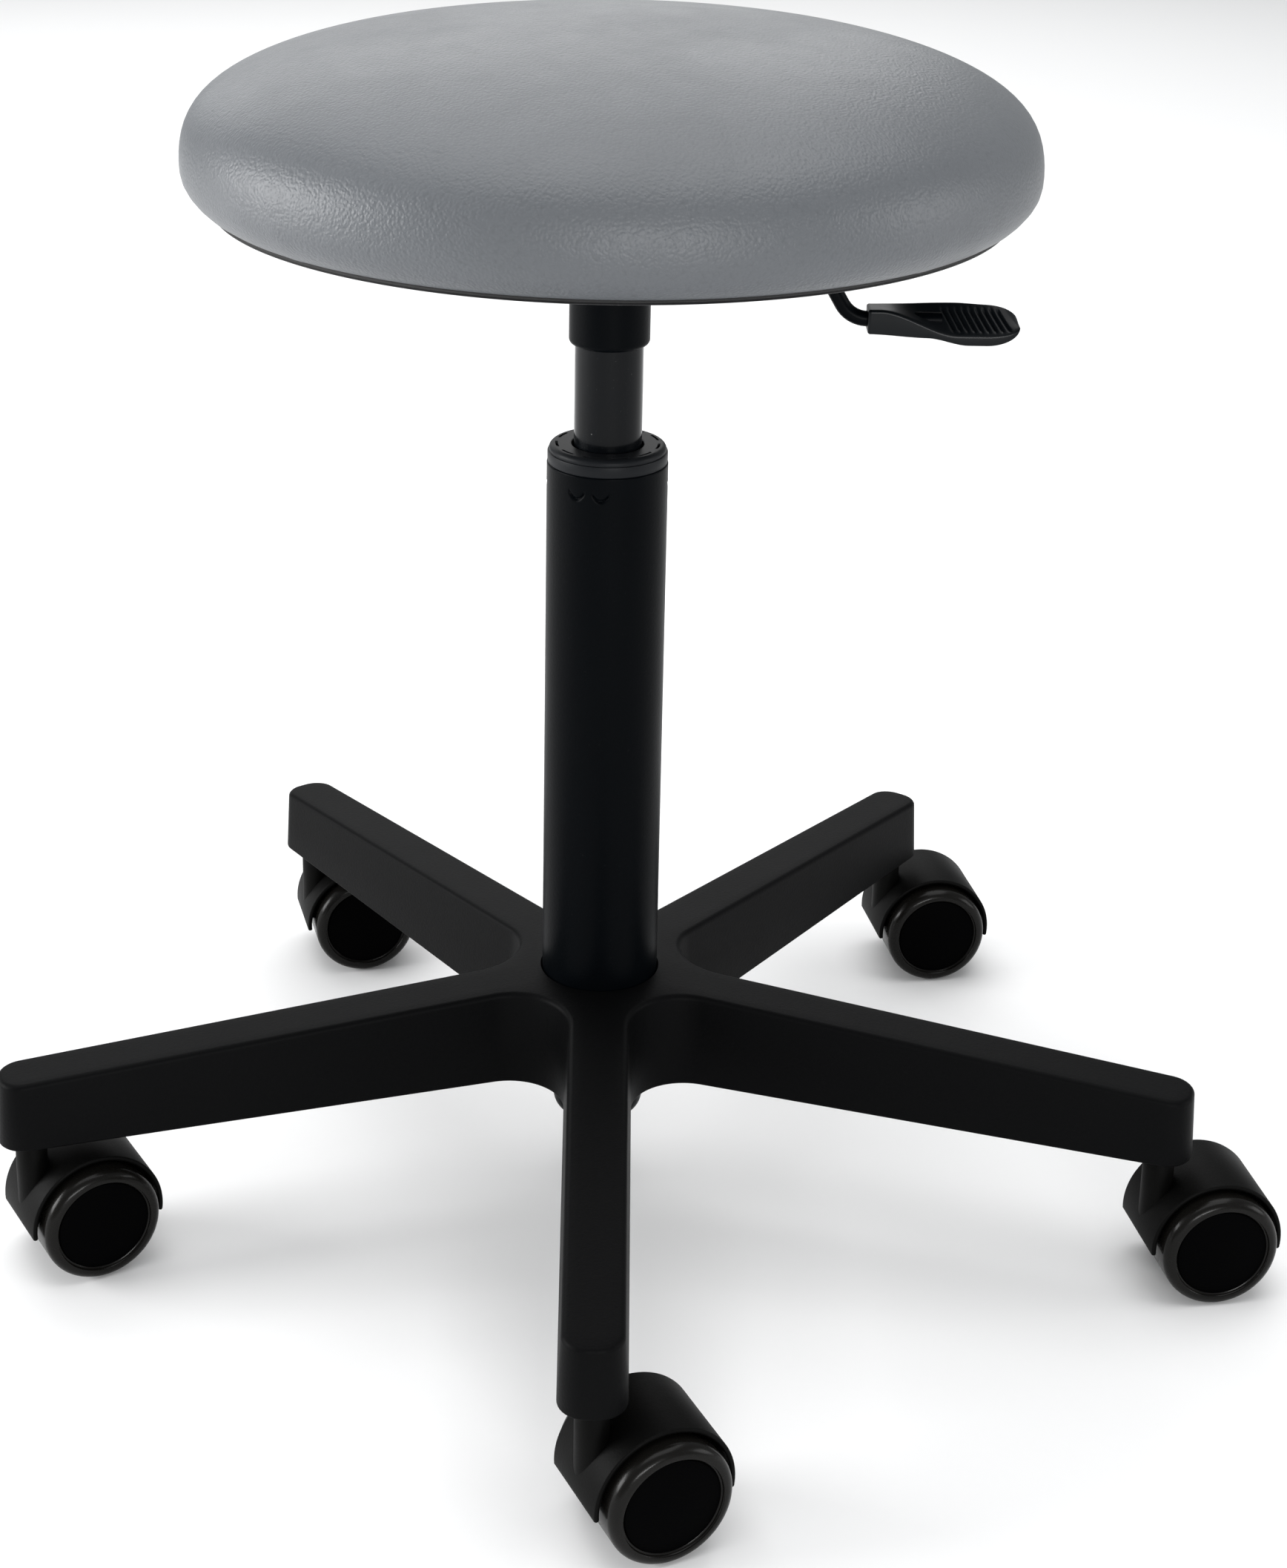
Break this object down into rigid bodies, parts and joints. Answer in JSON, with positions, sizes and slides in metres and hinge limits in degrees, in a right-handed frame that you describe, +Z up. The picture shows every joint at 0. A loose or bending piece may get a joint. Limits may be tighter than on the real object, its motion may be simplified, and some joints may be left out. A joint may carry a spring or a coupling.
{
  "type": "adjustable swivel stool",
  "caption": "Round padded swivel stool on a gas-lift column with a five-star base, hooded twin-wheel casters and a height lever.",
  "frame": {"origin": "on the floor, on the column's axis", "axes": "+Z up along the column, +X towards the side that the height lever points to, -Y along the front arm"},
  "size_m": [0.5395, 0.5076, 0.516],
  "materials": {
    "vinyl": "fine-grained grey vinyl, satin",
    "foam": "open-cell polyurethane foam",
    "plywood": "bare birch plywood",
    "dust_cloth": "black spun-bonded cloth",
    "black_paint": "black powder coat, satin",
    "cylinder_black": "black, polished to a gloss, lightly greased",
    "lever_black": "satin black",
    "zinc": "zinc plated",
    "chromed_rod": "hard chromed and ground",
    "brass": "turned",
    "rubber": "matt",
    "base_nylon": "glass-filled nylon, fine grain",
    "caster_nylon": "moulded nylon, fine grain",
    "disc_plastic": "matt black, slightly domed",
    "guide_plastic": "dark grey acetal, satin",
    "pale_plastic": "natural nylon",
    "tyre_grey": "dark grey polyurethane, glossy",
    "paddle_grey": "dark grey moulded plastic, satin"
  },
  "bodies": {
    "base": {"star_base": "base_nylon", "column_tube": "black_paint", "guide_sleeve": "guide_plastic", "lower_washer": "zinc", "bearing_balls": "zinc", "caster_stems": "zinc", "grip_rings": "zinc"},
    "rod": {"piston_rod": "chromed_rod", "piston": "zinc", "upper_washer": "zinc", "rubber_buffer": "rubber", "rod_clip": "zinc"},
    "seat": {"pressure_cylinder": "cylinder_black", "rod_guide": "pale_plastic", "valve_body": "brass", "socket_tube": "black_paint", "seat_plate": "black_paint", "plate_bolts": "zinc", "t_nuts": "zinc", "dust_cover": "dust_cloth", "seat_board": "plywood", "seat_foam": "foam", "seat_cover": "vinyl", "lever_pivot_pin": "zinc"},
    "lever": {"lever_rod": "lever_black", "lever_paddle": "paddle_grey"},
    "release_pin": {"release_pin": "zinc"},
    "caster_1": {"caster_housing_1": "caster_nylon", "caster_axle_1": "zinc"},
    "wheel_1a": {"wheel_tyre_1a": "tyre_grey", "wheel_disc_1a": "disc_plastic"},
    "wheel_1b": {"wheel_tyre_1b": "tyre_grey", "wheel_disc_1b": "disc_plastic"},
    "caster_2": {"caster_housing_2": "caster_nylon", "caster_axle_2": "zinc"},
    "wheel_2a": {"wheel_tyre_2a": "tyre_grey", "wheel_disc_2a": "disc_plastic"},
    "wheel_2b": {"wheel_tyre_2b": "tyre_grey", "wheel_disc_2b": "disc_plastic"},
    "caster_3": {"caster_housing_3": "caster_nylon", "caster_axle_3": "zinc"},
    "wheel_3a": {"wheel_tyre_3a": "tyre_grey", "wheel_disc_3a": "disc_plastic"},
    "wheel_3b": {"wheel_tyre_3b": "tyre_grey", "wheel_disc_3b": "disc_plastic"},
    "caster_4": {"caster_housing_4": "caster_nylon", "caster_axle_4": "zinc"},
    "wheel_4a": {"wheel_tyre_4a": "tyre_grey", "wheel_disc_4a": "disc_plastic"},
    "wheel_4b": {"wheel_tyre_4b": "tyre_grey", "wheel_disc_4b": "disc_plastic"},
    "caster_5": {"caster_housing_5": "caster_nylon", "caster_axle_5": "zinc"},
    "wheel_5a": {"wheel_tyre_5a": "tyre_grey", "wheel_disc_5a": "disc_plastic"},
    "wheel_5b": {"wheel_tyre_5b": "tyre_grey", "wheel_disc_5b": "disc_plastic"}
  },
  "joints": [
    {"name": "seat_swivel", "type": "hinge", "parent": "base", "child": "rod", "pos_m": [0, 0, 0.045], "axis": [0, 0, 1], "continuous": true},
    {"name": "seat_height", "type": "slide", "parent": "rod", "child": "seat", "axis": [0, 0, 1], "range_m": [-0.041, 0.084]},
    {"name": "lever_pull", "type": "hinge", "parent": "seat", "child": "lever", "pos_m": [0.026, 0, 0.425], "axis": [0, -1, 0], "range_deg": [0, 7], "stiffness_Nm_per_rad": 6, "springref_deg": -2.86},
    {"name": "pin_press", "type": "slide", "parent": "seat", "child": "release_pin", "axis": [0, 0, -1], "range_m": [0, 0.0035]},
    {"name": "caster_swivel_1", "type": "hinge", "parent": "base", "child": "caster_1", "pos_m": [0, -0.248, 0.053], "axis": [0, 0, 1], "continuous": true},
    {"name": "wheel_spin_1a", "type": "hinge", "parent": "caster_1", "child": "wheel_1a", "pos_m": [0.01949, -0.23891, 0.025], "axis": [-0.4226, 0.9063, 0], "continuous": true},
    {"name": "wheel_spin_1b", "type": "hinge", "parent": "caster_1", "child": "wheel_1b", "pos_m": [0.01949, -0.23891, 0.025], "axis": [-0.4226, 0.9063, 0], "continuous": true},
    {"name": "caster_swivel_2", "type": "hinge", "parent": "base", "child": "caster_2", "pos_m": [0.23586, -0.07664, 0.053], "axis": [0, 0, 1], "continuous": true},
    {"name": "wheel_spin_2a", "type": "hinge", "parent": "caster_2", "child": "wheel_2a", "pos_m": [0.25704, -0.0729, 0.025], "axis": [-0.1736, 0.9848, 0], "continuous": true},
    {"name": "wheel_spin_2b", "type": "hinge", "parent": "caster_2", "child": "wheel_2b", "pos_m": [0.25704, -0.0729, 0.025], "axis": [-0.1736, 0.9848, 0], "continuous": true},
    {"name": "caster_swivel_3", "type": "hinge", "parent": "base", "child": "caster_3", "pos_m": [0.14577, 0.20064, 0.053], "axis": [0, 0, 1], "continuous": true},
    {"name": "wheel_spin_3a", "type": "hinge", "parent": "caster_3", "child": "wheel_3a", "pos_m": [0.16694, 0.20437, 0.025], "axis": [-0.1736, 0.9848, 0], "continuous": true},
    {"name": "wheel_spin_3b", "type": "hinge", "parent": "caster_3", "child": "wheel_3b", "pos_m": [0.16694, 0.20437, 0.025], "axis": [-0.1736, 0.9848, 0], "continuous": true},
    {"name": "caster_swivel_4", "type": "hinge", "parent": "base", "child": "caster_4", "pos_m": [-0.14577, 0.20064, 0.053], "axis": [0, 0, 1], "continuous": true},
    {"name": "wheel_spin_4a", "type": "hinge", "parent": "caster_4", "child": "wheel_4a", "pos_m": [-0.125, 0.2062, 0.025], "axis": [-0.2588, 0.9659, 0], "continuous": true},
    {"name": "wheel_spin_4b", "type": "hinge", "parent": "caster_4", "child": "wheel_4b", "pos_m": [-0.125, 0.2062, 0.025], "axis": [-0.2588, 0.9659, 0], "continuous": true},
    {"name": "caster_swivel_5", "type": "hinge", "parent": "base", "child": "caster_5", "pos_m": [-0.23586, -0.07664, 0.053], "axis": [0, 0, 1], "continuous": true},
    {"name": "wheel_spin_5a", "type": "hinge", "parent": "caster_5", "child": "wheel_5a", "pos_m": [-0.21724, -0.06589, 0.025], "axis": [-0.5, 0.866, 0], "continuous": true},
    {"name": "wheel_spin_5b", "type": "hinge", "parent": "caster_5", "child": "wheel_5b", "pos_m": [-0.21724, -0.06589, 0.025], "axis": [-0.5, 0.866, 0], "continuous": true}
  ],
  "couplings": [
    {"joint": "pin_press", "follows": "lever_pull", "m_per_rad": 0.026}
  ]
}
